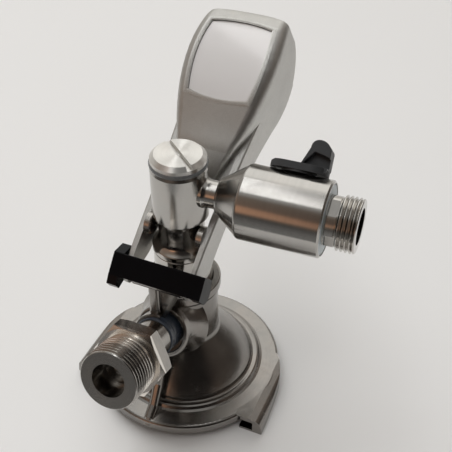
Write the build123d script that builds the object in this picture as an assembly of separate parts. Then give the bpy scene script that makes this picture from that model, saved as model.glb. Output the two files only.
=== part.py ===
from build123d import *
from math import sin, cos, tan, radians, sqrt, pi
import os

os.makedirs("parts", exist_ok=True)

# Keg coupler with slider base, side gas inlet, lever handle and a swivelling ball-valve outlet.
# Row frame, in mm: origin at the bottom centre of the base on the probe axis, +Z up the probe,
# -Y towards the gas inlet, +X towards the outlet valve. Handle drawn raised (probe lifted).

# ---------------------------------------------------------------- driving dimensions
# base and neck (all radii about the probe axis)
RIM_R = 45.0            # round rim of the base
RIM_Z0, RIM_Z1 = 4.0, 9.0
CONE_R, CONE_Z = 31.2, 13.4     # foot edge of the cone
NECK_R = 15.4
NECK_Z0, NECK_Z1 = 31.5, 64.0
COLLAR_R = 16.85        # bead round the top of the neck
BORE_R = 13.10          # guide bore for the probe sleeve
GUIDE_Z0 = 56.5         # below this the bore opens into the gas chamber
CHAMBER_R, CHAMBER_Z0 = 14.1, 33.0
GAS_CH_R = 11.0         # throat round the probe, above the keg seal
SEAL_RO, SEAL_RI = 20.0, 10.2
SEAL_Z0, SEAL_Z1 = 6.6, 10.6
# slider rails
RAIL_X, RAIL_TOP_X = 49.6, 42.2
RAIL_Y0, RAIL_Y1 = -25.0, 18.0
LIP_X, LIP_T = 38.0, 1.3
CHAN_X = 44.8
DECK_UNDER = 6.6
# gas inlet (axis leans up from the probe axis)
GAS_Z, GAS_TILT = 42.3, 18.45
BOSS_R, BOSS_D = 12.8, 26.0
BOSS_DROP = 1.4         # the boss's outside sits this much below the inlet axis
BOSS_CB_R, BOSS_CB_D = 10.6, 20.0
SLEEVE_R = 8.6
HEX_AF, HEX_D0, HEX_D1 = 29.4, 49.4, 57.0
GAS_THR_R, GAS_THR_ROOT = 13.22, 12.06      # G 3/4 male
GAS_FACE_D = 73.5
GAS_BORE_R = 7.5
PITCH = 1.814           # 14 threads per inch, both threads
# hinge
HY, HZ = -22.0, 79.0
PIN_R = 2.5
BARREL_R = 4.7
BLOCK_X = 12.1
# handle, drawn flat (x, u along the handle, n out of its face) and then tilted
TILT = 37.7
ARM_IN = 13.6
LUG_Y, LUG_Z, LUG_R = -5.0, 94.0, 5.0
# probe
RING_R = 13.3
SLEEVE_OD_R = 13.05     # polished sleeve that slides in the neck
RING_Z0, RING_Z1 = 82.0, 84.9
TIP_Z, TUBE_R, TUBE_BORE = 10.0, 7.5, 4.6
SPIGOT_R = 9.0
# swivel and outlet valve
SW_R, SW_Z0, SW_Z1 = 12.2, 100.2, 126.0
VZ, VAZ = 114.0, 3.3    # outlet axis height and its turn from +X
VB_R, VB_S0, VB_S1 = 16.0, 29.3, 64.2
BALL_S, BALL_R, WAY_R = 48.2, 10.5, 6.0
KNOB_TURN = 45.0        # stem direction, up from +Y
STUB_R = 10.4
OUT_THR_R, OUT_THR_ROOT, OUT_S = 11.46, 10.30, 77.3   # G 5/8 male
OUT_BORE_R = 7.6

# ---------------------------------------------------------------- helpers
def wire_of(pts):
    """closed wire in the XZ plane from (a, b) points; ('a', mid, end) is an arc, ('s', [pts]) a spline"""
    edges = []
    p = start = Vector(pts[0][0], 0, pts[0][1])
    for s in pts[1:]:
        if s[0] == "a":
            q = Vector(s[2][0], 0, s[2][1])
            edges.append(Edge.make_three_point_arc(p, Vector(s[1][0], 0, s[1][1]), q))
        elif s[0] == "s":
            vs = [p] + [Vector(a, 0, b) for a, b in s[1]]
            q = vs[-1]
            edges.append(Edge.make_spline(vs))
        else:
            q = Vector(s[0], 0, s[1])
            edges.append(Edge.make_line(p, q))
        p = q
    if (p - start).length > 1e-6:
        edges.append(Edge.make_line(p, start))
    return Wire(edges)


def lathe(*pts):
    """solid of revolution about Z from (r, z) points"""
    return Solid.revolve(Face(wire_of(pts)), 360, Axis.Z)


def slab(pts, x0, x1):
    """(y, z) outline extruded between two x positions"""
    f = Face(wire_of(pts))                       # drawn in XZ
    s = Solid.extrude(f, Vector(0, x1 - x0, 0))  # along +Y
    return s.rotate(Axis.Z, 90).translate(Vector(x1, 0, 0))   # X->Y, Y->-X


def plan(pts, z0, z1):
    """(x, y) outline extruded up between two heights"""
    vs = [Vector(p[0], p[1], z0) for p in pts]
    return Solid.extrude(Face(Wire.make_polygon(vs, close=True)), Vector(0, 0, z1 - z0))


def cyl(r, a, b):
    """round bar from point a to point b"""
    a, b = Vector(*a), Vector(*b)
    d = b - a
    return Solid.make_cylinder(r, d.length, Plane(origin=a, z_dir=d))


def one(s):
    """a boolean result as one part"""
    return s if isinstance(s, (Solid, Part, Compound)) else Compound(list(s))


def solids(s):
    return list(s.solids())


def soft(s, edges, radii):
    """round the edges with the first radius that works"""
    for r in radii:
        try:
            t = s.fillet(r, edges)
            if t.is_valid and t.volume > 0:
                return t
        except Exception:
            pass
    return s


def bevel(s, edges, sizes):
    for c in sizes:
        try:
            t = s.chamfer(c, None, edges)
            if t.is_valid and t.volume > 0:
                return t
        except Exception:
            pass
    return s


def crests(r, root, z0, z1, pitch, lead=0.9):
    """(r, z) points up the outside of a threaded length: one V crest for each turn"""
    n = int((z1 - z0 - lead) / pitch)
    pts = []
    z = z1 - lead - n * pitch
    pts.append((root, z0))
    pts.append((root, z))
    for i in range(n):
        pts += [(r, z + 0.42 * pitch), (r, z + 0.58 * pitch), (root, z + pitch)]
        z += pitch
    pts += [(r - 0.25, z + 0.35 * lead), (r - 0.25, z1 - 0.35), (r - 0.6, z1)]
    return pts


def save(name, *shapes):
    ss = []
    for s in shapes:
        ss += solids(s)
    for i, s in enumerate(ss):
        if not s.is_valid:
            print("INVALID", name, i)
    obj = ss[0] if len(ss) == 1 else Compound(ss)
    export_step(obj, f"parts/{name}.step")
    b = obj.bounding_box()
    print(f"{name:24s} solids {len(ss)} vol {sum(s.volume for s in ss):9.1f} "
          f"x {b.min.X:.1f}..{b.max.X:.1f} y {b.min.Y:.1f}..{b.max.Y:.1f} z {b.min.Z:.1f}..{b.max.Z:.1f}")
    return obj


g = (0.0, -cos(radians(GAS_TILT)), sin(radians(GAS_TILT)))


def on_gas(s):
    """a part drawn up Z from the probe axis, laid along the gas inlet axis"""
    return s.rotate(Axis.X, 90 - GAS_TILT).translate(Vector(0, 0, GAS_Z))


def on_handle(s):
    return s.rotate(Axis.X, TILT).translate(Vector(0, HY, HZ))


def on_valve(s):
    """a part drawn up Z, laid along the outlet axis"""
    return s.rotate(Axis.Y, 90).rotate(Axis.Z, VAZ).translate(Vector(0, 0, VZ))


def on_stem(s):
    """a part drawn up Z from the ball's centre (x along the outlet), stood along the valve stem"""
    s = s.rotate(Axis.X, -(90 - KNOB_TURN)).translate(Vector(BALL_S, 0, 0))
    return s.rotate(Axis.Z, VAZ).translate(Vector(0, 0, VZ))


# ================================================================ coupler body (one casting)
skirt = lathe(
    (BORE_R, GUIDE_Z0), (BORE_R, 60.6), (BORE_R + 1.98, 60.6), (BORE_R + 1.98, 62.6), (BORE_R, 62.6), (BORE_R, NECK_Z1 - 0.6), (BORE_R + 0.6, NECK_Z1),
    (COLLAR_R - 0.8, NECK_Z1), ("a", (COLLAR_R - 0.23, NECK_Z1 - 0.23), (COLLAR_R, NECK_Z1 - 0.8)),
    (COLLAR_R, 59.8), ("a", (COLLAR_R - 0.4, 58.6), (NECK_R, 57.6)),
    (NECK_R, 34.4), ("a", (15.6, 33.0), (16.3, 31.6)),
    ("s", [(21.9, 25.6), (27.4, 19.2), (31.2, CONE_Z)]),
    (31.5, 12.0), ("a", (32.2, 11.4), (33.0, 11.3)), (34.2, 11.5), (34.9, 11.2),
    (35.7, 10.0), (36.8, 9.6), (43.4, RIM_Z1), ("a", (44.6, 8.45), (RIM_R, 7.3)),
    (RIM_R, 5.2), ("a", (44.7, 4.35), (44.0, RIM_Z0)), (39.5, RIM_Z0), (38.5, DECK_UNDER),
    (SEAL_RO + 0.05, DECK_UNDER), (SEAL_RO + 0.05, SEAL_Z1), (GAS_CH_R, SEAL_Z1),
    (GAS_CH_R, 24.0), (CHAMBER_R - 0.6, 30.0), (CHAMBER_R - 0.6, CHAMBER_Z0), (CHAMBER_R, CHAMBER_Z0), (CHAMBER_R, GUIDE_Z0 - 1.0),
)
body = skirt

# rails: C-channels under both sides of the rim, open to the front; their outer faces close in
# towards the back and run out into the round rim
rail_sec = Solid.extrude(Face(wire_of([
    (LIP_X, 0.4), (LIP_X + 0.4, 0.0), (RAIL_X - 0.8, 0.0), ("a", (RAIL_X - 0.2, 0.25), (RAIL_X, 0.9)),
    (RAIL_X - 0.5, 4.4), ("a", (RAIL_X - 1.3, 6.9), (RAIL_X - 3.2, 8.25)), (RAIL_TOP_X + 0.9, 9.04), (36.0, 9.14), (36.0, 8.2), (38.7, 8.2)])),
    Vector(0, RAIL_Y1 - RAIL_Y0, 0)).translate(Vector(0, RAIL_Y0, 0))
rail_plan = Solid.extrude(Face(Wire([
    Edge.make_line((30, -26, 0), (RAIL_X, -26, 0)),
    Edge.make_spline([Vector(RAIL_X, -26, 0), Vector(49.0, -14, 0), Vector(48.2, -4, 0), Vector(47.0, 5, 0), Vector(44.8, 11.5, 0), Vector(41.2, 17.4, 0)]),
    Edge.make_line((41.2, 17.4, 0), (30, 19, 0)), Edge.make_line((30, 19, 0), (30, -26, 0))])), Vector(0, 0, 14)).translate(Vector(0, 0, -1))
rail = max(solids(one(rail_sec & rail_plan)), key=lambda q: q.volume)
half_box = Solid.make_box(80, 160, 120).translate(Vector(0, -80, -10))
half = one(one(body + rail) & half_box)
half = max(solids(half), key=lambda q: q.volume)
cut = Solid.make_box(CHAN_X - 30.0, 60, DECK_UNDER - 0.2 - LIP_T).translate(Vector(30.0, -48.0, LIP_T))
cut = one(cut & one(Solid.make_cylinder(CHAN_X, 30) + Solid.make_box(30, 60, 30).translate(Vector(20, -60, 0))))
# leave the front and back of the rim hanging; open it only over the rails
cut = one(cut & Solid.make_box(20, 60, 20).translate(Vector(LIP_X + 0.01, -50, 0)))
half = one(half - cut)
half = max(solids(half), key=lambda q: q.volume)
body = one(half + half.mirror(Plane.YZ))
print("base halves", body.is_valid, round(body.volume, 1), len(solids(body)))
body = max(solids(body), key=lambda q: q.volume)

# gas inlet boss, leaning up out of the neck
boss = lathe((0, 10), (17.0, 12), ("a", (14.2, 16.0), (BOSS_R, 21.0)), (BOSS_R, BOSS_D - 1.6),
             ("a", (BOSS_R - 0.45, BOSS_D - 0.45), (BOSS_R - 1.4, BOSS_D)), (0, BOSS_D))
boss = on_gas(boss.translate(Vector(0, -BOSS_DROP, 0)))
boss = one(boss - Solid.make_cylinder(CHAMBER_R + 0.3, 80))
body = body + boss
# rib under the boss, down to the rim
rib = slab([(-16, 14), (-30.0, 11.0), (-38.0, 5.0), (-45.0, 4.6), (-45.3, 6.6), (-43.6, 9.8), (-38.5, 13.2), (-33.0, 22.0),
            (-26.5, 38.0), (-15.0, 38.0)], -2.5, 2.5)
rib = soft(rib, [e for e in rib.edges() if abs(e.center().X) > 2 and e.center().Y < -24 and e.center().Z > 6.8], [1.9, 1.4, 0.9])
rib = one(rib - Solid.make_cylinder(CHAMBER_R + 0.3, 80))
body = body + rib
# hinge bracket: two posts with a thin web between them, under a cross block and barrel
post = slab([(-26.0, 60.0), (-25.6, 76.0), (-17.6, 76.0), (-17.6, 60.0), (-13.5, 54.0), (-13.5, 50.0), (-22.0, 50.0)], -4.9, 0.5)
post = soft(post, [e for e in post.edges() if e.center().Y < -25 and e.length > 10], [1.5, 1.0])
gus = Solid.extrude(Face(wire_of([(-1.0, 56.0), (1.2, 58.6), (8.6, 76.0), (-1.0, 76.0)])), Vector(0, 6.2, 0)).translate(Vector(0, -23.8, 0))
edge_rib = Solid.extrude(Face(wire_of([(0.0, 56.0), (1.7, 57.6), (9.7, 75.2), (9.7, 76.4), (8.3, 76.4), (0.0, 58.4)])), Vector(0, 8.4, 0)).translate(Vector(0, -25.4, 0))
block = cyl(BARREL_R, (-BLOCK_X, HY, HZ), (BLOCK_X, HY, HZ))
block = bevel(block, block.edges().filter_by(GeomType.CIRCLE), [0.5])
hood = on_gas(lathe((9.25, BOSS_CB_D - 1.0), (10.5, BOSS_CB_D - 1.0), (10.5, 32.0), (10.2, 32.4), (9.25, 32.4)))
hood = one(hood & Solid.make_box(14.3, 40, 30).translate(Vector(-13.0, -44, 51)))
for p_ in [post, gus, edge_rib, block, hood]:
    body = body + one(p_ - Solid.make_cylinder(CHAMBER_R + 0.35, 120))

# bores
body = body - on_gas(lathe((0, BOSS_CB_D), (9.24, BOSS_CB_D), (9.24, 60), (0, 60)))
recess = on_gas(lathe((0, BOSS_CB_D), (BOSS_CB_R, BOSS_CB_D), (BOSS_CB_R, BOSS_D - 0.5), (BOSS_CB_R + 0.5, BOSS_D + 0.01), (0, BOSS_D + 0.01)).translate(Vector(0, -0.4, 0)))
body = body - one(recess - Solid.make_box(7.4, 40, 30).translate(Vector(-6.1, -44, 55)))
body = body - on_gas(Solid.make_cylinder(4.6, 18).translate(Vector(0, 0, 10)))
body = body - cyl(PIN_R + 0.0, (-30, HY, HZ), (30, HY, HZ))
body = one(body)
print("body solids", len(solids(body)))
body = max(solids(body), key=lambda s: s.volume)
save("coupler_body", body)

# keg seal: flat gasket under the body, round the probe
save("keg_seal", lathe((SEAL_RI, SEAL_Z0 + 0.4), (SEAL_RI + 0.4, SEAL_Z0), (SEAL_RO - 0.8, SEAL_Z0), (SEAL_RO, SEAL_Z0 + 0.8),
                       (SEAL_RO, SEAL_Z1), (SEAL_RI, SEAL_Z1)))

# hinge pin, held in the barrel; its ends carry the arms and the latch
pin = cyl(PIN_R, (-20.6, HY, HZ), (20.6, HY, HZ))
pin = bevel(pin, pin.edges(), [0.4])
save("hinge_pin", pin)

# gas inlet adapter: sleeve, hexagon and G 3/4 male end with a stepped bore
outer = lathe((0, BOSS_CB_D + 0.02), (SLEEVE_R - 0.5, BOSS_CB_D + 0.02), (SLEEVE_R, BOSS_CB_D + 0.5), (SLEEVE_R, HEX_D0 + 0.5),
              (SLEEVE_R, HEX_D1 - 0.2), (12.6, HEX_D1 - 0.2), (12.6, HEX_D1 + 0.6), (GAS_THR_ROOT - 0.1, HEX_D1 + 1.0),
              *crests(GAS_THR_R, GAS_THR_ROOT, HEX_D1 + 2.4, GAS_FACE_D, PITCH, 1.2), (0, GAS_FACE_D))
hexa = extrude(RegularPolygon(HEX_AF / 2, 6, major_radius=False, rotation=0), HEX_D1 - HEX_D0).translate(Vector(0, 0, HEX_D0))
cone_f = lathe((0, HEX_D0), (HEX_AF / 2 + 0.6, HEX_D0), (HEX_AF / 2 + 2.6, HEX_D0 + 1.1), (HEX_AF / 2 + 2.6, HEX_D1 - 1.1),
               (HEX_AF / 2 + 0.3, HEX_D1), (0, HEX_D1))
hexa = one(hexa & cone_f)
adp = one(outer + hexa)
adp = adp - Solid.make_cylinder(5.0, 80)
adp = adp - Solid.make_cylinder(GAS_BORE_R, 9.5).translate(Vector(0, 0, GAS_FACE_D - 9.5))
adp = adp - Solid.make_cylinder(6.3, 4.0).translate(Vector(0, 0, GAS_FACE_D - 13.0))
adp = one(adp)
save("gas_inlet_adapter", on_gas(adp))
# dark blue sealing sleeve between hexagon and body, seated in the boss
save("inlet_seal_sleeve", on_gas(lathe((SLEEVE_R + 0.02, BOSS_CB_D + 0.05), (9.2, BOSS_CB_D + 0.05), (9.2, 30.2), (9.0, 30.8), (9.0, 31.6),
                                       (9.2, 32.0), (9.2, 33.4), (8.9, 33.8), (SLEEVE_R + 0.02, 33.8))))
# non-return valve in the inlet: seat ring and rubber flap body
save("inlet_valve_seat", on_gas(lathe((3.1, 57.6), (4.98, 57.6), (4.98, 60.55), (6.28, 60.55), (6.28, 61.9), (4.0, 61.9), (3.1, 61.0))))
save("inlet_valve_flap", on_gas(one(lathe((0, 46.5), (2.2, 46.5), (3.4, 51.0), (4.7, 54.5), (4.7, 57.5), (0, 57.5)) -
                                    Solid.make_cylinder(1.2, 20).translate(Vector(0, 0, 50)))))

# ================================================================ probe (slides in the neck)
stem = lathe(
    (TUBE_BORE, TIP_Z), (TUBE_R - 0.8, TIP_Z), (TUBE_R, TIP_Z + 0.8), (TUBE_R, 13.0), (TUBE_R - 0.9, 13.2), (TUBE_R - 0.9, 18.0),
    (TUBE_R, 18.2), (TUBE_R, 50.0), ("a", (8.6, 53.4), (11.6, 55.2)), (SLEEVE_OD_R - 0.5, 55.2), (SLEEVE_OD_R, 55.7),
    (SLEEVE_OD_R, RING_Z0 - 0.6), (RING_R - 0.6, RING_Z0 - 0.3), (RING_R - 0.2, RING_Z0), (RING_R, RING_Z0 + 0.3), (RING_R, RING_Z1 - 0.4), (RING_R - 0.4, RING_Z1),
    ("s", [(11.9, 85.7), (10.95, 86.8), (10.42, 88.3), (10.25, 90.6)]), (10.25, 96.6), ("a", (10.38, 98.3), (10.8, 99.5)),
    (10.8, 100.0), (SPIGOT_R, 100.0),
    (SPIGOT_R, 104.0), (SPIGOT_R - 1.3, 104.0), (SPIGOT_R - 1.3, 105.8), (SPIGOT_R, 105.8),
    (SPIGOT_R, 108.6), (7.0, 109.4), (7.0, 119.2), (SPIGOT_R, 120.0), (SPIGOT_R, 122.0),
    (SPIGOT_R - 1.3, 122.0), (SPIGOT_R - 1.3, 123.8), (SPIGOT_R, 123.8), (SPIGOT_R, 126.1),
    (5.0, 126.1), (5.0, 103.0), (TUBE_BORE, 101.0),
)
for a in (0, 45, 90, 135):
    stem = stem - cyl(2.2, (-12 * cos(radians(a)), -12 * sin(radians(a)), VZ), (12 * cos(radians(a)), 12 * sin(radians(a)), VZ))
save("probe_stem", one(stem))
# rubber tip seal in the probe's lower groove
save("probe_tip_seal", lathe((TUBE_R - 0.88, 13.25), (TUBE_R + 0.9, 13.6), (TUBE_R + 1.5, 15.6), (TUBE_R + 0.9, 17.6), (TUBE_R - 0.88, 17.95)))
# rod seal held in the top of the neck
save("neck_o_ring", Solid.make_torus(BORE_R + 0.98, 0.9).translate(Vector(0, 0, 61.6)))
save("spigot_o_rings", Solid.make_torus(SPIGOT_R - 0.66, 0.61).translate(Vector(0, 0, 104.9)),
     Solid.make_torus(SPIGOT_R - 0.66, 0.61).translate(Vector(0, 0, 122.9)))
# beer check ball on its seat ring, under the cross holes
save("check_ball_seat", lathe((3.0, 98.4), (4.58, 98.4), (4.58, 101.0), (4.0, 101.0)))
BALL_C = 101.0 + sqrt(4.2 ** 2 - 4.0 ** 2) + 0.02
save("beer_check_ball", Solid.make_sphere(4.2, angle1=-90, angle2=90, angle3=360).translate(Vector(0, 0, BALL_C)))

# slotted cap screw, holding the swivel on the spigot
cap = lathe((0, 112.6), (4.1, 112.6), (4.9, 113.4), (4.9, 126.1), (10.2, 126.12), (10.2, 127.95), (SW_R - 0.3, 127.95), (SW_R - 0.3, 129.6),
            (10.35, 131.1), ("a", (10.2, 131.25), (10.0, 131.3)), (0, 131.3))
slot = Solid.make_box(40, 2.4, 4).translate(Vector(-20, -1.2, 129.7)).rotate(Axis.Z, -40)
save("swivel_cap_screw", one(cap - slot))
# blue ring between the cap and the swivel
save("cap_seal_ring", lathe((10.25, 126.1), (SW_R - 0.1, 126.1), ("a", (SW_R + 0.25, 127.0), (SW_R - 0.1, 127.9)), (10.25, 127.9)))

# ================================================================ swivel and outlet valve
hous = lathe((SPIGOT_R + 0.05, SW_Z0), (SW_R - 0.5, SW_Z0), (SW_R, SW_Z0 + 0.5), (SW_R, SW_Z1 - 1.5), (SW_R - 0.5, SW_Z1),
             (SPIGOT_R + 0.05, SW_Z1), (SPIGOT_R + 0.05, 121.0), (10.4, 119.6), (10.4, 108.8), (SPIGOT_R + 0.05, 107.4))
neck = on_valve(lathe((0, 8), (6.9, 8), (6.7, 11.8), ("a", (6.25, 12.8), (6.1, 14.2)), (6.1, 17.6), (7.2, 17.9), ("a", (7.7, 18.2), (8.1, 18.9)),
                      (15.2, 28.6), ("a", (15.75, 29.2), (VB_R, 30.0)), (VB_R, 31.0), (0, 31.0)))
neck = one(neck - Solid.make_cylinder(SW_R - 0.9, 200))
hous = one(hous + neck)
vb = on_valve(lathe((0, 31.0), (VB_R, 31.0), (VB_R, VB_S1 - 0.7), (VB_R - 0.7, VB_S1), (14.9, VB_S1), (14.9, 62.7), (0, 62.7)))
hous = one(hous + vb)
hous = hous - on_valve(Solid.make_cylinder(12.5, 40).translate(Vector(0, 0, 34.5)))
hous = hous - on_valve(Solid.make_cylinder(WAY_R, 30).translate(Vector(0, 0, 9.6)))
hous = hous - on_stem(Solid.make_cylinder(4.05, 30))
hous = hous - on_stem(Solid.make_cylinder(9.6, 6).translate(Vector(0, 0, 15.2)))
hous = max(solids(one(hous)), key=lambda s: s.volume)
save("swivel_valve_body", hous)
# PTFE seats either side of the ball
seat = lathe((WAY_R, 34.6), (12.4, 34.6), (12.4, 40.6), (WAY_R + 1.6, 40.6), (WAY_R, 39.6))
ballsph = Solid.make_sphere(BALL_R + 0.05, angle1=-90, angle2=90, angle3=360).translate(Vector(0, 0, BALL_S))
seat_a = one(seat - ballsph)
seat2 = lathe((WAY_R, 61.0), (12.4, 61.0), (12.4, 55.8), (WAY_R + 1.6, 55.8), (WAY_R, 56.8))
seat_b = one(seat2 - ballsph)
save("valve_seats", on_valve(seat_a), on_valve(seat_b))
# ball with its through way and drive slot
vball = Solid.make_sphere(BALL_R, angle1=-90, angle2=90, angle3=360)
vball = vball - Solid.make_cylinder(WAY_R, 30).translate(Vector(0, 0, -15)).rotate(Axis.Y, 90)
vball = vball - Solid.make_box(9.2, 2.6, 3).translate(Vector(-4.6, -1.3, 8.6))
save("valve_ball", on_stem(one(vball)))
# stem: tongue in the ball's slot, collar, O-ring groove, square top
st = lathe((0, 10.56), (5.0, 10.56), (5.0, 11.3), (4.0, 11.35), (4.0, 13.2), (3.1, 13.2), (3.1, 14.2), (4.0, 14.2), (4.0, 15.1), (3.0, 15.2), (3.0, 17.0), (2.66, 17.2), (2.66, 17.7), (3.0, 17.9), (3.0, 18.7), (0, 18.7))
st = one(st + Solid.make_box(8.4, 2.4, 1.95).translate(Vector(-4.2, -1.2, 8.7)))
st = one(st & lathe((0, 5), (11.9, 5), (11.9, 30), (0, 30)))
save("valve_stem", on_stem(st))
save("stem_o_ring", on_stem(Solid.make_torus(3.54, 0.42).translate(Vector(0, 0, 13.7))))

# knob: oval foot with a leaning, hollow-sided wing
foot_k = extrude(SlotOverall(24.6, 15.0), 2.9).translate(Vector(0, 0, 16.35))
foot_k = one(foot_k & lathe((0, 16), (12.6, 16), (12.6, 18.2), (11.2, 19.3), (0, 19.3)))
foot_k = foot_k + Solid.make_cylinder(7.2, 1.0).translate(Vector(0, 0, 15.4))
wing = Solid.extrude(Face(wire_of([(-0.6, 17.5), (0.6, 19.6), (3.2, 26.6), ("a", (4.1, 29.2), (5.9, 30.1)), ("a", (9.0, 29.6), (10.8, 28.0)),
                                   ("a", (11.5, 27.2), (11.7, 26.2)), (11.9, 19.6), (11.2, 17.4)])), Vector(0, 9.6, 0)).translate(Vector(0, -4.8, 0))
# the lower half of the wing is hollowed on its near side, under a slanting brow
cutw = Solid.extrude(Face(wire_of([(1.1, 19.25), (5.3, 24.9), (9.2, 24.1), (14.0, 22.6), (14.0, 19.25)])), Vector(0, 3.4, 0)).translate(Vector(0, -5.0, 0))
wing = one(wing - cutw)
wing = max(solids(wing), key=lambda q: q.volume)
brow = [e for e in wing.edges() if abs(e.center().Y + 4.8) < 0.05 and e.center().Z > 22.0]
wing = soft(wing, brow, [0.9, 0.6, 0.4])
knob = one(foot_k + wing)
knob = one(knob - lathe((0, 15.3), (3.04, 15.3), (3.04, 17.04), (2.72, 17.24), (2.72, 17.66), (3.04, 17.86), (3.04, 18.75), (0, 18.75)))
knob = max(solids(knob), key=lambda s: s.volume)
save("valve_knob", on_stem(knob))

# outlet end: plug, round stub with flats, G 5/8 male end
outl = lathe((0, 61.05), (12.4, 61.05), (12.4, 62.6), (STUB_R, 62.65), (STUB_R, 68.4), (OUT_THR_ROOT - 0.3, 68.8),
             *crests(OUT_THR_R, OUT_THR_ROOT, 69.0, OUT_S, PITCH, 0.9), (0, OUT_S))
for a in range(4):
    fl = Solid.make_box(4, 40, 4.6).translate(Vector(STUB_R - 0.75, -20, 64.4)).rotate(Axis.Z, 90 * a + 20)
    outl = outl - fl
outl = outl - Solid.make_cylinder(WAY_R, 60).translate(Vector(0, 0, 40))
outl = outl - Solid.make_cylinder(OUT_BORE_R, 8).translate(Vector(0, 0, OUT_S - 6.0))
outl = one(outl)
save("outlet_adapter", on_valve(outl))
save("outlet_face_ring", on_valve(lathe((STUB_R + 0.1, 62.72), (14.85, 62.72), (14.85, 63.7), (14.4, 63.95), (STUB_R + 0.1, 63.95))))

# ================================================================ handle (drawn flat, then tilted)
FRONT = [(56.0, 3.4), (62.0, 4.9), (75.0, 6.6), (85.0, 8.3), (95.0, 9.3), (106.5, 9.2), (116.0, 7.6), (122.5, 5.5)]


def front_n(u, off=0.0):
    pts = FRONT
    for (u0, n0), (u1, n1) in zip(pts, pts[1:]):
        if u <= u1:
            return n0 + (n1 - n0) * (u - u0) / (u1 - u0) + off
    return pts[-1][1] + off


def side_edges(pts, bow):
    """symmetrical closed plan outline from right-hand (w, u) points; the top bows out by bow"""
    right = [Vector(w, u, 0) for w, u in pts]
    left = [Vector(-w, u, 0) for w, u in pts]
    top = Vector(0, pts[-1][1] + bow, 0)
    es = [Edge.make_spline(right), Edge.make_three_point_arc(right[-1], top, left[-1]),
          Edge.make_spline(list(reversed(left))), Edge.make_line(left[0], right[0])]
    return Wire(es)


def section(u, w, nb, nf, rf, rb, crown=0.45):
    """rounded cross section of the grip at u: half width w, back nb to front nf"""
    k = 0.70711
    P = lambda x, z: Vector(x, u, z)
    return Wire([
        Edge.make_three_point_arc(P(-w + rf, nf), P(0, nf + crown), P(w - rf, nf)),
        Edge.make_three_point_arc(P(w - rf, nf), P(w - rf + rf * k, nf - rf + rf * k), P(w, nf - rf)),
        Edge.make_line(P(w, nf - rf), P(w, nb + rb)),
        Edge.make_three_point_arc(P(w, nb + rb), P(w - rb + rb * k, nb + rb - rb * k), P(w - rb, nb)),
        Edge.make_line(P(w - rb, nb), P(-w + rb, nb)),
        Edge.make_three_point_arc(P(-w + rb, nb), P(-w + rb - rb * k, nb + rb - rb * k), P(-w, nb + rb)),
        Edge.make_line(P(-w, nb + rb), P(-w, nf - rf)),
        Edge.make_three_point_arc(P(-w, nf - rf), P(-w + rf - rf * k, nf - rf + rf * k), P(-w + rf, nf))])


grip = Solid.make_loft([
    section(60.0, 13.1, -17.0, 4.4, 2.2, 2.0), section(68.0, 15.8, -19.2, 5.6, 3.2, 2.4), section(76.0, 18.3, -22.3, 6.8, 4.0, 2.8),
    section(86.0, 20.3, -26.0, 8.45, 4.4, 3.2), section(97.0, 21.5, -27.6, 9.35, 4.6, 3.4), section(107.0, 21.6, -27.4, 9.15, 4.6, 3.4),
    section(116.0, 20.8, -25.5, 7.7, 4.4, 3.2), section(122.0, 19.8, -22.0, 5.7, 4.0, 3.0), section(125.8, 18.7, -17.0, 3.2, 3.6, 3.0),
    section(128.2, 17.4, -12.0, -0.8, 3.0, 3.0)], False)
print("grip", grip.is_valid, grip.volume)
step = slab([(107.9, -40.0), (107.9, -24.0), ("a", (108.1, -23.6), (108.6, -23.4)), ("s", [(115.0, -21.2), (121.4, -17.4), (126.5, -9.5), (128.5, -2.0)]), (140.0, -2.0), (140.0, -40.0)], -30, 30)
grip = one(grip - step)
topcut = Solid.extrude(Face(side_edges([(24.0, 50.0), (24.0, 90.0), (24.0, 123.4)], 4.6)), Vector(0, 0, 70)).translate(Vector(0, 0, -45))
grip = one(grip & topcut)
grip = max(solids(grip), key=lambda q: q.volume)
te_ = [e for e in grip.edges() if e.center().Y > 122 and e.length > 15 and e.center().Z > -6]
grip_r = soft(grip, te_, [2.2, 1.6, 1.0, 0.6])
print("grip rounded", grip_r.volume, grip.volume)
be = [e for e in grip_r.edges() if e.center().Z < -8 and e.center().Y > 107.5 and e.length > 6]
grip_r = soft(grip_r, be, [1.2, 0.8, 0.5])
print("grip rounded back", grip_r.volume)
# hollow it from the underside
pocket_side = slab([(71.0, -40.0), (74.0, -14.0), ("s", [(80.0, 1.0), (86.0, 4.0), (96.0, 5.6), (106.0, 5.4), (114.0, 4.0), (119.0, 1.0)]),
                    ("s", [(122.6, -4.0), (121.4, -10.0), (117.0, -17.0)]), (117.0, -40.0)], -30, 30)
pocket_plan = Solid.extrude(Face(side_edges([(13.0, 70.0), (15.8, 80.0), (17.3, 88.0), (18.1, 97.0), (18.2, 107.0), (17.4, 114.0), (15.6, 120.0)], 1.6)),
                            Vector(0, 0, 60)).translate(Vector(0, 0, -45))
pocket = one(pocket_side & pocket_plan)
grip_r = one(grip_r - pocket)

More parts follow.
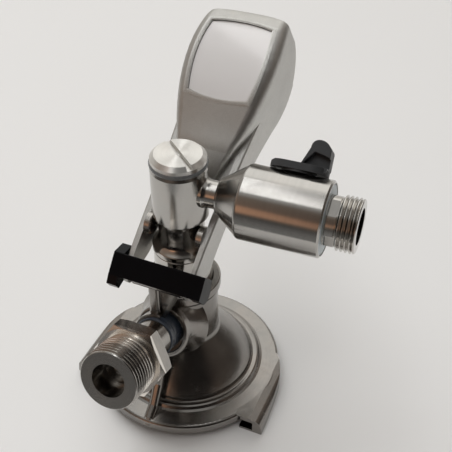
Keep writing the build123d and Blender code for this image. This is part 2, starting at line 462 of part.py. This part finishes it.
# arms
arm_side = slab([(0, 4.9), (8.0, 4.9), (17.4, 4.4), (33.0, 2.7), (62.0, -0.4), (80.0, -2.4), (84.0, -6.0), (84.0, -24.6), (78.0, -22.4),
                 ("s", [(70.0, -19.4), (62.0, -16.9), (50.0, -14.2), (40.0, -12.6), (28.0, -11.4), (16.0, -11.0)]),
                 ("s", [(10.0, -9.4), (5.5, -6.4), (2.0, -4.6)]), (0, -4.9), ("a", (-4.9, 0), (0, 4.9))], -30, 30)
arm_plan_r = Solid.extrude(Face(Wire([Edge.make_line((ARM_IN, -6, 0), (16.1, -6, 0)),
                                      Edge.make_spline([Vector(16.1, -6, 0), Vector(16.3, 10, 0), Vector(16.9, 33, 0), Vector(18.0, 62, 0), Vector(18.9, 76, 0), Vector(19.5, 84, 0)]),
                                      Edge.make_line((19.5, 84, 0), (15.4, 84, 0)),
                                      Edge.make_line((15.4, 84, 0), (14.4, 52, 0)), Edge.make_line((14.4, 52, 0), (ARM_IN, 30, 0)),
                                      Edge.make_line((ARM_IN, 30, 0), (ARM_IN, -6, 0))])),
                           Vector(0, 0, 60)).translate(Vector(0, 0, -40))
arm_r = one(arm_side & arm_plan_r)
arm_r = max(solids(arm_r), key=lambda s: s.volume)
ae = [e for e in arm_r.edges() if e.length > 12 and abs(e.center().X) > 15.6 and e.center().Y < 76]
arm_r = soft(arm_r, ae, [0.9, 0.6, 0.4])
arm_l = arm_r.mirror(Plane.YZ)

# tongue running down between the arms, and the thin web that joins it to them
tongue = Solid.make_loft([
    section(47.5, 8.0, -2.0, -0.2, 0.8, 0.4, 0.2), section(49.2, 8.9, -1.8, 1.0, 1.1, 0.4, 0.3), section(52.5, 10.2, -1.4, 2.45, 1.4, 0.5, 0.4),
    section(57.5, 12.1, -0.6, 3.85, 1.9, 0.6), section(62.0, 13.6, 0.0, 4.62, 2.3, 0.6), section(66.0, 14.9, 0.6, 5.2, 2.9, 0.6)], False)
webp = slab([(46.5, -4.2), (46.5, -1.8), (60.0, -0.6), (80.0, 1.0), (80.0, -4.0), (60.0, -4.0)], -14.6, 14.6)

handle = one(grip_r + arm_r)
handle = one(handle + arm_l)
handle = one(handle + tongue)
handle = one(handle + webp)

# label recess in the panel, with a raised bead round it
def face_band(o0, o1, u0=80.0, u1=121.0):
    us = [u0, 85.0, 95.0, 106.5, 116.0, u1]
    f0 = [(u, front_n(u, o0)) for u in us]
    f1 = [(u, front_n(u, o1)) for u in reversed(us)]
    return slab([f0[0], ("s", f0[1:]), f1[0], ("s", f1[1:])], -30, 30)


def label_outline(d):
    w0, w1, u0, u1 = 13.6 + d, 15.4 + d, 84.2 - d, 117.6 + d
    a, b = Vector(w0, u0, 0), Vector(w0 + 0.3, u1, 0)
    c, e = Vector(-w0 - 0.3, u1, 0), Vector(-w0, u0, 0)
    return Wire([Edge.make_three_point_arc(a, Vector(w1, (u0 + u1) / 2, 0), b), Edge.make_three_point_arc(b, Vector(0, u1 + 1.8, 0), c),
                 Edge.make_three_point_arc(c, Vector(-w1, (u0 + u1) / 2, 0), e), Edge.make_three_point_arc(e, Vector(0, u0 - 1.8, 0), a)])


def label_prism(d):
    return Solid.extrude(Face(label_outline(d)), Vector(0, 0, 40)).translate(Vector(0, 0, -10))


for hi_, d0, d1 in ((0.35, 0.4, 2.3), (0.62, 0.65, 1.95), (0.78, 0.95, 1.6)):
    bead = one(face_band(-0.8, hi_) & one(label_prism(d1) - label_prism(d0)))
    handle = one(handle + bead)
handle = one(handle - one(face_band(-1.2, 3.0) & label_prism(0.4)))
# lug seats are plain; hinge bores through both arms
handle = one(handle - Solid.make_cylinder(PIN_R + 0.06, 80).rotate(Axis.Y, 90).translate(Vector(-40, 0, 0)))
handle = max(solids(handle), key=lambda s: s.volume)
save("handle_casting", on_handle(handle))
plate = one(face_band(-1.12, -0.35) & label_prism(0.2))
save("handle_label_plate", on_handle(max(solids(plate), key=lambda s: s.volume)))
# round lugs inside the arms, working in the probe's waist
lugs = []
for sx in (-1, 1):
    l_ = cyl(LUG_R, (sx * 10.6, LUG_Y, LUG_Z), (sx * (ARM_IN - 0.01), LUG_Y, LUG_Z))
    l_ = bevel(l_, l_.edges().filter_by(GeomType.CIRCLE).sort_by(lambda e: abs(e.center().X))[:1], [0.6, 0.4])
    lugs.append(l_)
save("cam_lugs", *lugs)

# latch: black U-shaped bar over the hinge ends of both arms, turning on the same pin
lt = slab([(5.8, 5.25), (5.8, 7.0), ("a", (5.65, 7.45), (5.2, 7.5)), (-3.8, 5.95), ("a", (-4.2, 5.75), (-4.3, 5.25))], -21.5, 21.5)
ck = slab([(5.8, 5.25), (5.8, 7.4), (-4.3, 5.9), (-4.6, -1.0), ("a", (-2.6, -4.0), (1.5, -4.6)), (6.6, -1.6)], 16.9, 21.5)
ckl = slab([(5.8, 7.4), (-4.3, 5.9), (-8.2, 4.6), (-8.6, 0.6), (-4.6, -1.4), ("a", (-2.4, -4.2), (1.5, -4.6)), (9.0, -1.2), (10.6, 2.4)], -21.5, -16.9)
latch = one(lt + ck)
latch = one(latch + ckl)
latch = one(latch - Solid.make_cylinder(PIN_R + 0.08, 41.5).rotate(Axis.Y, 90).translate(Vector(-20.75, 0, 0)))
latch = max(solids(latch), key=lambda s: s.volume)
save("latch_bar", on_handle(latch))
print("done")
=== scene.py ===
import bpy, bmesh, math
from mathutils import Vector, Matrix

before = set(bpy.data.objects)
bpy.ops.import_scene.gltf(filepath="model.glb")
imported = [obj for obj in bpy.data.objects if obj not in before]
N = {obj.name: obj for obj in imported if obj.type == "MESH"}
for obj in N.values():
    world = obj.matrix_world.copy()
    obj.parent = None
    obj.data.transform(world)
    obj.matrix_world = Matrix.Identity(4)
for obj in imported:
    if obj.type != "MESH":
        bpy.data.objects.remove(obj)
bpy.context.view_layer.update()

D = bpy.data
scene = bpy.context.scene
scene.view_settings.view_transform = "Standard"
scene.view_settings.look = "None"

# axes of the turned parts, in the row frame (metres)
MM = 0.001
TILT = math.radians(18.45)
GAS_O, GAS_A = Vector((0, 0, 0.0423)), Vector((0, -math.cos(TILT), math.sin(TILT)))
VAZ = math.radians(3.3)
OUT_O, OUT_A = Vector((0, 0, 0.114)), Vector((math.cos(VAZ), math.sin(VAZ), 0))
PROBE_O, PROBE_A = Vector((0, 0, 0)), Vector((0, 0, 1))
HINGE_O, HINGE_A = Vector((0, -0.022, 0.079)), Vector((1, 0, 0))
K45 = math.sqrt(0.5)
STEM_O = OUT_O + OUT_A * 0.0482
STEM_A = Vector((-math.sin(VAZ) * K45, math.cos(VAZ) * K45, K45))


# ------------------------------------------------------------------ node helpers
class Nodes:
    def __init__(self, tree):
        self.t = tree
        self.n = tree.nodes
        self.l = tree.links

    def new(self, kind, **sets):
        n = self.n.new(kind)
        for k, v in sets.items():
            setattr(n, k, v)
        return n

    def put(self, value, socket):
        if hasattr(value, "is_output"):
            self.l.new(value, socket)
        else:
            socket.default_value = value

    def math(self, op, a, b=None, c=None, clamp=False):
        n = self.new("ShaderNodeMath", operation=op, use_clamp=clamp)
        self.put(a, n.inputs[0])
        if b is not None:
            self.put(b, n.inputs[1])
        if c is not None:
            self.put(c, n.inputs[2])
        return n.outputs[0]

    def vec(self, op, a, b=None):
        n = self.new("ShaderNodeVectorMath", operation=op)
        self.put(a, n.inputs[0])
        if b is not None:
            self.put(b, n.inputs[1])
        return n.outputs["Value"] if op in ("DOT_PRODUCT", "LENGTH", "DISTANCE") else n.outputs[0]

    def scale(self, a, k):
        n = self.new("ShaderNodeVectorMath", operation="SCALE")
        self.put(a, n.inputs[0])
        self.put(k, n.inputs["Scale"])
        return n.outputs[0]

    def combine(self, x, y, z):
        n = self.new("ShaderNodeCombineXYZ")
        for v, s in zip((x, y, z), n.inputs):
            self.put(v, s)
        return n.outputs[0]

    def noise(self, vector, scale, detail=3.0, rough=0.55, dist=0.0):
        n = self.new("ShaderNodeTexNoise")
        self.put(vector, n.inputs["Vector"])
        n.inputs["Scale"].default_value = scale
        n.inputs["Detail"].default_value = detail
        n.inputs["Roughness"].default_value = rough
        n.inputs["Distortion"].default_value = dist
        return n.outputs["Fac"] if "Fac" in n.outputs else n.outputs[0]

    def ramp(self, fac, stops, interp="LINEAR"):
        n = self.new("ShaderNodeValToRGB")
        n.color_ramp.interpolation = interp
        e = n.color_ramp.elements
        while len(e) > 1:
            e.remove(e[0])
        e[0].position, e[0].color = stops[0][0], rgba(stops[0][1])
        for p, c in stops[1:]:
            x = e.new(p)
            x.color = rgba(c)
        self.put(fac, n.inputs["Fac"])
        return n.outputs["Color"]

    def remap(self, v, a, b, c, d, smooth=False):
        n = self.new("ShaderNodeMapRange", clamp=True)
        if smooth:
            n.interpolation_type = "SMOOTHSTEP"
        self.put(v, n.inputs["Value"])
        for k, x in zip(("From Min", "From Max", "To Min", "To Max"), (a, b, c, d)):
            self.put(x, n.inputs[k])
        return n.outputs["Result"]

    def mix(self, fac, a, b, blend="MIX"):
        n = self.new("ShaderNodeMix", data_type="RGBA", blend_type=blend)
        self.put(fac, n.inputs[0])
        self.put(rgba(a) if not hasattr(a, "is_output") else a, n.inputs[6])
        self.put(rgba(b) if not hasattr(b, "is_output") else b, n.inputs[7])
        return n.outputs[2]

    def bump(self, height, strength, distance, normal=None):
        n = self.new("ShaderNodeBump")
        n.inputs["Strength"].default_value = strength
        n.inputs["Distance"].default_value = distance
        self.put(height, n.inputs["Height"])
        if normal is not None:
            self.put(normal, n.inputs["Normal"])
        return n.outputs["Normal"]


def rgba(c):
    if isinstance(c, (int, float)):
        return (c, c, c, 1.0)
    return tuple(c) if len(c) == 4 else (*c, 1.0)


def start(name):
    m = D.materials.new(name)
    m.use_nodes = True
    m.node_tree.nodes.clear()
    g = Nodes(m.node_tree)
    out = g.new("ShaderNodeOutputMaterial")
    b = g.new("ShaderNodeBsdfPrincipled")
    g.l.new(b.outputs[0], out.inputs["Surface"])
    co = g.new("ShaderNodeTexCoord").outputs["Object"]
    return m, g, b, co


def polar(g, co, origin, axis):
    """(radius, distance along the axis, circumferential direction) about an axis, in metres"""
    p = g.vec("SUBTRACT", co, tuple(origin))
    s = g.vec("DOT_PRODUCT", p, tuple(axis))
    along = g.scale(tuple(axis), s)
    rad = g.vec("SUBTRACT", p, along)
    r = g.vec("LENGTH", rad)
    around = g.vec("CROSS_PRODUCT", tuple(axis), rad)
    return r, s, around, rad


def edge_mask(g, radius):
    """1 on sharp outer edges, 0 on open faces"""
    bev = g.new("ShaderNodeBevel", samples=4)
    bev.inputs["Radius"].default_value = radius
    geo = g.new("ShaderNodeNewGeometry")
    d = g.vec("DOT_PRODUCT", bev.outputs[0], geo.outputs["Normal"])
    return g.remap(d, 0.995, 0.85, 0.0, 1.0), bev.outputs[0]


def steel(name, base, rough, origin=PROBE_O, axis=PROBE_A, lines=0.5, line_mm=0.22, aniso=0.0,
          stain=0.10, warm=(0.62, 0.50, 0.42), waves=0.0, blast=0.0, edge=0.35, edge_mm=0.35, smudge=0.06, thread_highlight_band=None):
    """stainless steel: turning lines about an axis, soft staining, smudges, lighter sharp edges (partly wear, partly
    painted highlight); the last argument (from, to, gain) paints a highlight on the thread by raising its base colour
    """
    m, g, b, co = start(name)
    r, s, around, rad = polar(g, co, origin, axis)
    # staining: broad uneven tone, a little warmer in places
    broad = g.noise(co, 55.0, 4.0, 0.6)
    fine = g.noise(co, 420.0, 3.0, 0.6)
    tone = g.remap(broad, 0.3, 0.7, 1.0 - stain, 1.0 + stain * 0.55)
    col = g.mix(g.remap(broad, 0.42, 0.72, 0.0, 0.55 * stain * 4), base, [x * w / 0.58 for x, w in zip(base, warm)])
    col = g.scale(col, tone)
    # painted highlight: the thread's base colour is raised by the gain between two points along the axis, beyond r 11
    # mm
    if thread_highlight_band:
        thread_highlight_mask = g.math("MULTIPLY", g.remap(s, thread_highlight_band[0], thread_highlight_band[0] + 0.4 * MM, 0.0, 1.0), g.remap(s, thread_highlight_band[1] - 0.4 * MM, thread_highlight_band[1], 1.0, 0.0))
        thread_highlight_mask = g.math("MULTIPLY", thread_highlight_mask, g.remap(r, 10.9 * MM, 11.2 * MM, 0.0, 1.0))
        col = g.scale(col, g.math("ADD", 1.0, g.math("MULTIPLY", thread_highlight_mask, thread_highlight_band[2] - 1.0)))
    edges, bevn = edge_mask(g, edge_mm * MM)
    # sharp edges lighter in base colour: partly wear, partly painted edge highlight
    col = g.mix(g.math("MULTIPLY", edges, edge), col, [min(1.0, x * 1.75) for x in base])
    # turning lines: noise that changes along the profile and hardly at all round it
    line_co = g.combine(g.math("MULTIPLY", r, 1000.0 / line_mm), g.math("MULTIPLY", s, 1000.0 / line_mm), 0.0)
    line = g.noise(line_co, 1.0, 2.0, 0.6)
    line2 = g.noise(g.combine(g.math("MULTIPLY", r, 240.0 / line_mm), g.math("MULTIPLY", s, 240.0 / line_mm), 0.0), 1.0, 2.0, 0.5)
    linem = g.math("ADD", g.math("MULTIPLY", line, 0.6), g.math("MULTIPLY", line2, 0.4))
    col = g.scale(col, g.remap(linem, 0.3, 0.7, 1.0 - 0.16 * lines, 1.0 + 0.12 * lines))
    smear = g.noise(co, 130.0, 5.0, 0.65, 0.6)
    rr = g.math("ADD", rough, g.math("MULTIPLY", g.remap(smear, 0.45, 0.75, 0.0, 1.0), smudge))
    rr = g.math("ADD", rr, g.math("MULTIPLY", g.math("SUBTRACT", linem, 0.5), 0.10 * lines))
    rr = g.math("SUBTRACT", rr, g.math("MULTIPLY", edges, 0.08), clamp=True)
    h = g.math("MULTIPLY", linem, lines)
    nrm = g.bump(h, 0.22, 0.00004)
    if waves:
        nrm = g.bump(g.noise(co, 38.0, 1.0, 0.4), waves, 0.0012, nrm)
    if blast:
        grain = g.math("ADD", g.math("MULTIPLY", g.noise(co, 2600.0, 2.0, 0.6), 0.7), g.math("MULTIPLY", fine, 0.3))
        nrm = g.bump(grain, blast, 0.00012, nrm)
        col = g.scale(col, g.remap(grain, 0.35, 0.65, 0.93, 1.06))
    g.put(col, b.inputs["Base Color"])
    g.put(rr, b.inputs["Roughness"])
    g.put(nrm, b.inputs["Normal"])
    b.inputs["Metallic"].default_value = 1.0
    if aniso:
        b.inputs["Anisotropic"].default_value = aniso
        vt = g.new("ShaderNodeVectorTransform", vector_type="VECTOR", convert_from="OBJECT", convert_to="WORLD")
        g.put(around, vt.inputs[0])
        geo = g.new("ShaderNodeNewGeometry")
        t = g.vec("NORMALIZE", g.vec("CROSS_PRODUCT", geo.outputs["Normal"], vt.outputs[0]))
        g.put(t, b.inputs["Tangent"])
    return m


def plastic(name, base, rough, grain=0.3, grain_scale=1900.0, edge=0.5, worn=(0.16, 0.165, 0.17), spec=0.5, coat=0.0, bumpd=0.00008, vary=0.18):
    m, g, b, co = start(name)
    broad = g.noise(co, 70.0, 4.0, 0.6)
    g1 = g.noise(co, grain_scale, 2.0, 0.6)
    edges, _ = edge_mask(g, 0.5 * MM)
    scuff = g.noise(co, 260.0, 5.0, 0.7, 0.4)
    col = g.scale(rgba(base)[:3], g.remap(broad, 0.3, 0.7, 1.0 - vary, 1.0 + vary))
    wear = g.math("MULTIPLY", g.math("MULTIPLY", edges, edge), g.remap(scuff, 0.35, 0.65, 0.3, 1.0))
    col = g.mix(wear, col, worn)
    g.put(col, b.inputs["Base Color"])
    g.put(g.math("ADD", rough, g.math("MULTIPLY", g.math("SUBTRACT", scuff, 0.5), 0.25), clamp=True), b.inputs["Roughness"])
    g.put(g.bump(g1, grain, bumpd), b.inputs["Normal"])
    b.inputs["Specular IOR Level"].default_value = spec
    if coat:
        b.inputs["Coat Weight"].default_value = coat
        b.inputs["Coat Roughness"].default_value = 0.06
    return m


BASE = [0.44, 0.428, 0.408]
DARK = [0.292, 0.282, 0.268]
M = {}
M["casting"] = steel("casting_steel", DARK, 0.20, lines=0.25, line_mm=0.35, stain=0.10, waves=0.10, blast=0.10, edge=0.5, smudge=0.10)
# base colour raised 2.1 times along the thread: painted highlight
M["gas"] = steel("gas_turned_steel", [0.40, 0.388, 0.368], 0.17, GAS_O, GAS_A, lines=0.8, aniso=0.45, stain=0.08, edge=0.9, edge_mm=0.4, thread_highlight_band=(0.0550, 0.0656, 2.1))
M["sleeve"] = steel("probe_polished_steel", [0.52, 0.505, 0.48], 0.15, lines=0.3, aniso=0.25, waves=0.05, stain=0.06)
M["cap"] = steel("cap_turned_steel", [0.80, 0.79, 0.76], 0.37, lines=0.35, line_mm=0.3, aniso=0.94, stain=0.04)
M["barrel"] = steel("barrel_brushed_steel", [0.46, 0.45, 0.43], 0.17, OUT_O, OUT_A, lines=0.4, aniso=0.7, stain=0.04)
M["outlet"] = steel("outlet_polished_steel", [0.52, 0.505, 0.48], 0.09, OUT_O, OUT_A, lines=0.4, aniso=0.2, stain=0.05, waves=0.06)
M["blasted"] = steel("blasted_steel", [0.58, 0.575, 0.555], 0.46, HINGE_O, HINGE_A, lines=0.0, stain=0.05, warm=(0.585, 0.56, 0.53), blast=0.30, edge=0.5, edge_mm=0.5)
M["pin"] = steel("pin_steel", BASE, 0.25, HINGE_O, HINGE_A, lines=0.6)
M["stem"] = steel("stem_steel", BASE, 0.22, STEM_O, STEM_A, lines=0.6)
M["black"] = plastic("black_knob_plastic", (0.040, 0.043, 0.046), 0.50, worn=(0.11, 0.115, 0.12))
M["gloss"] = plastic("black_latch_plastic", (0.0018, 0.0023, 0.0034), 0.22, grain=0.10, edge=0.4, worn=(0.018, 0.020, 0.023), spec=0.12)
M["rubber"] = plastic("black_rubber", (0.018, 0.018, 0.019), 0.62, grain=0.25, edge=0.25, worn=(0.05, 0.05, 0.05))
M["blue"] = plastic("blue_seal_rubber", (0.040, 0.050, 0.068), 0.24, grain=0.10, edge=0.3, worn=(0.12, 0.14, 0.17), spec=0.6)
M["grey"] = plastic("grey_seal_ring", (0.17, 0.18, 0.185), 0.26, grain=0.10, edge=0.3, worn=(0.35, 0.36, 0.37))
M["ptfe"] = plastic("white_ptfe", (0.72, 0.80, 0.84), 0.42, grain=0.1, edge=0.1, worn=(0.85, 0.9, 0.92), vary=0.05)
M["label"] = plastic("white_label", (0.80, 0.79, 0.785), 0.13, grain=0.05, grain_scale=500.0, edge=0.15, worn=(0.6, 0.6, 0.6), coat=0.4, bumpd=0.00003, vary=0.012)

USE = {
    "coupler_body": "casting", "keg_seal": "rubber", "neck_o_ring": "rubber", "hinge_pin": "pin",
    "gas_inlet_adapter": "gas", "inlet_seal_sleeve": "blue", "inlet_valve_seat": "gas", "inlet_valve_flap": "rubber",
    "probe_stem": "sleeve", "probe_tip_seal": "rubber", "spigot_o_rings": "rubber", "check_ball_seat": "sleeve",
    "beer_check_ball": "sleeve", "swivel_cap_screw": "cap", "cap_seal_ring": "grey", "swivel_valve_body": "barrel",
    "valve_seats": "ptfe", "valve_ball": "outlet", "valve_stem": "stem", "stem_o_ring": "rubber", "valve_knob": "black",
    "outlet_adapter": "outlet", "outlet_face_ring": "ptfe", "handle_casting": "blasted",
    "handle_label_plate": "label", "cam_lugs": "pin", "latch_bar": "gloss",
}
for n, o in N.items():
    o.data.materials.clear()
    o.data.materials.append(M[USE[n]])

# ------------------------------------------------------------------ stage
def floor():
    """plain pale sheet under the part, its near edge just in front of the base"""
    me = D.meshes.new("floor")
    bm = bmesh.new()
    x0, x1, y0, y1, k = -1.5, 1.5, -0.165, 2.4, 24
    vs = [[bm.verts.new((x0 + (x1 - x0) * i / k, y0 + (y1 - y0) * j / k, 0.0)) for j in range(k + 1)] for i in range(k + 1)]
    for i in range(k):
        for j in range(k):
            bm.faces.new([vs[i][j], vs[i + 1][j], vs[i + 1][j + 1], vs[i][j + 1]])
    bm.to_mesh(me)
    bm.free()
    o = D.objects.new("floor", me)
    scene.collection.objects.link(o)
    m, g, b, co = start("floor_paper")
    g.put(g.scale((0.84, 0.84, 0.835), g.remap(g.noise(co, 3.0, 3.0), 0.3, 0.7, 0.985, 1.0)), b.inputs["Base Color"])
    b.inputs["Roughness"].default_value = 0.9
    b.inputs["Specular IOR Level"].default_value = 0.1
    me.materials.append(m)
    return o


floor()

world = D.worlds.new("studio")
scene.world = world
world.use_nodes = True
world.node_tree.nodes.clear()
g = Nodes(world.node_tree)
out = g.new("ShaderNodeOutputWorld")
direction = g.new("ShaderNodeTexCoord").outputs["Generated"]
d3 = g.vec("NORMALIZE", direction)
sx = g.new("ShaderNodeSeparateXYZ")
g.put(d3, sx.inputs[0])
room = g.ramp(g.remap(sx.outputs["Z"], -1, 1, 0, 1), [
    (0.0, (0.30, 0.30, 0.29)), (0.32, (0.20, 0.195, 0.19)), (0.45, (0.10, 0.095, 0.09)), (0.52, (0.16, 0.125, 0.10)), (0.56, (0.27, 0.19, 0.145)),
    (0.74, (0.28, 0.20, 0.155)), (0.86, (0.24, 0.195, 0.16)), (0.94, (0.34, 0.33, 0.32)), (1.0, (0.50, 0.50, 0.49))])


def lobe(az, elv, inner, outer):
    """soft round patch of the room, by azimuth (0 in front, positive to the right) and elevation"""
    a, e = math.radians(az), math.radians(elv)
    v = (math.sin(a) * math.cos(e), -math.cos(a) * math.cos(e), math.sin(e))
    return g.remap(g.vec("DOT_PRODUCT", d3, v), math.cos(math.radians(outer)), math.cos(math.radians(inner)), 0.0, 1.0, True)


for az, elv, inner, outer, w, c in (
        (-110, 22, 14, 46, 0.75, (0.55, 0.54, 0.51)),       # pale wall on the left
        (150, 4, 18, 44, 0.85, (0.21, 0.20, 0.19)),         # right, behind
        (-166, 12, 16, 42, 0.95, (0.72, 0.70, 0.66)),       # pale wall behind
        (-158, 43, 10, 32, 1.0, (1.35, 1.33, 1.28)),        # window behind
        (104, 18, 22, 46, 0.9, (0.09, 0.078, 0.068)),       # dark right side
        (34, 27, 24, 46, 1.0, (0.026, 0.023, 0.021)),
        (-48, 66, 4, 24, 0.75, (0.62, 0.62, 0.61)),         # pale patch overhead, to the left
        (114, 38, 3, 15, 0.8, (0.58, 0.53, 0.48)),          # small pale patch, right
        (-18, 12, 4, 15, 0.85, (0.78, 0.43, 0.27))):        # warm patch in front
    room = g.mix(g.math("MULTIPLY", lobe(az, elv, inner, outer), w), room, c)
bg = g.new("ShaderNodeBackground")
g.put(room, bg.inputs["Color"])
bg.inputs["Strength"].default_value = 1.0
bg2 = g.new("ShaderNodeBackground")
bg2.inputs["Color"].default_value = (0.69, 0.685, 0.675, 1)
lp = g.new("ShaderNodeLightPath")
mx = g.new("ShaderNodeMixShader")
g.put(lp.outputs["Is Camera Ray"], mx.inputs[0])
g.l.new(bg.outputs[0], mx.inputs[1])
g.l.new(bg2.outputs[0], mx.inputs[2])
g.l.new(mx.outputs[0], out.inputs["Surface"])


def softbox(name, az, elv, dist, w, h, power, colour=(1, 1, 1), target=(0.01, 0.0, 0.07), mirrored=True):
    a, e = math.radians(az), math.radians(elv)
    v = Vector((math.sin(a) * math.cos(e), -math.cos(a) * math.cos(e), math.sin(e)))
    l = D.lights.new(name, "AREA")
    l.shape, l.size, l.size_y, l.energy, l.color = "RECTANGLE", w, h, power, colour
    o = D.objects.new(name, l)
    scene.collection.objects.link(o)
    o.location = Vector(target) + v * dist
    o.rotation_mode = "QUATERNION"
    o.rotation_quaternion = (-v).to_track_quat("-Z", "Y")
    o.visible_camera = False
    o.visible_glossy = mirrored
    return o


softbox("top_strip", -78, 76, 1.3, 1.1, 0.20, 1.5)
softbox("key_soft", -125, 58, 2.0, 1.6, 1.6, 15.0, mirrored=False)
softbox("fill_soft", 25, 66, 2.0, 1.4, 1.4, 7.0, mirrored=False)

# ------------------------------------------------------------------ camera
cam = D.cameras.new("camera")
cam.sensor_width = 36.0
cam.sensor_fit = "HORIZONTAL"
cam.lens = 65.389
cam.clip_start, cam.clip_end = 0.01, 50
co_ = D.objects.new("camera", cam)
scene.collection.objects.link(co_)
R = Matrix(((0.91684868, -0.25277753, 0.30901784), (0.39919797, 0.59098112, -0.70098666), (-0.00543003, 0.76605799, 0.64274853)))
co_.matrix_world = Matrix.Translation(Vector((0.12857162, -0.24371747, 0.32288214))) @ R.to_4x4()
scene.camera = co_
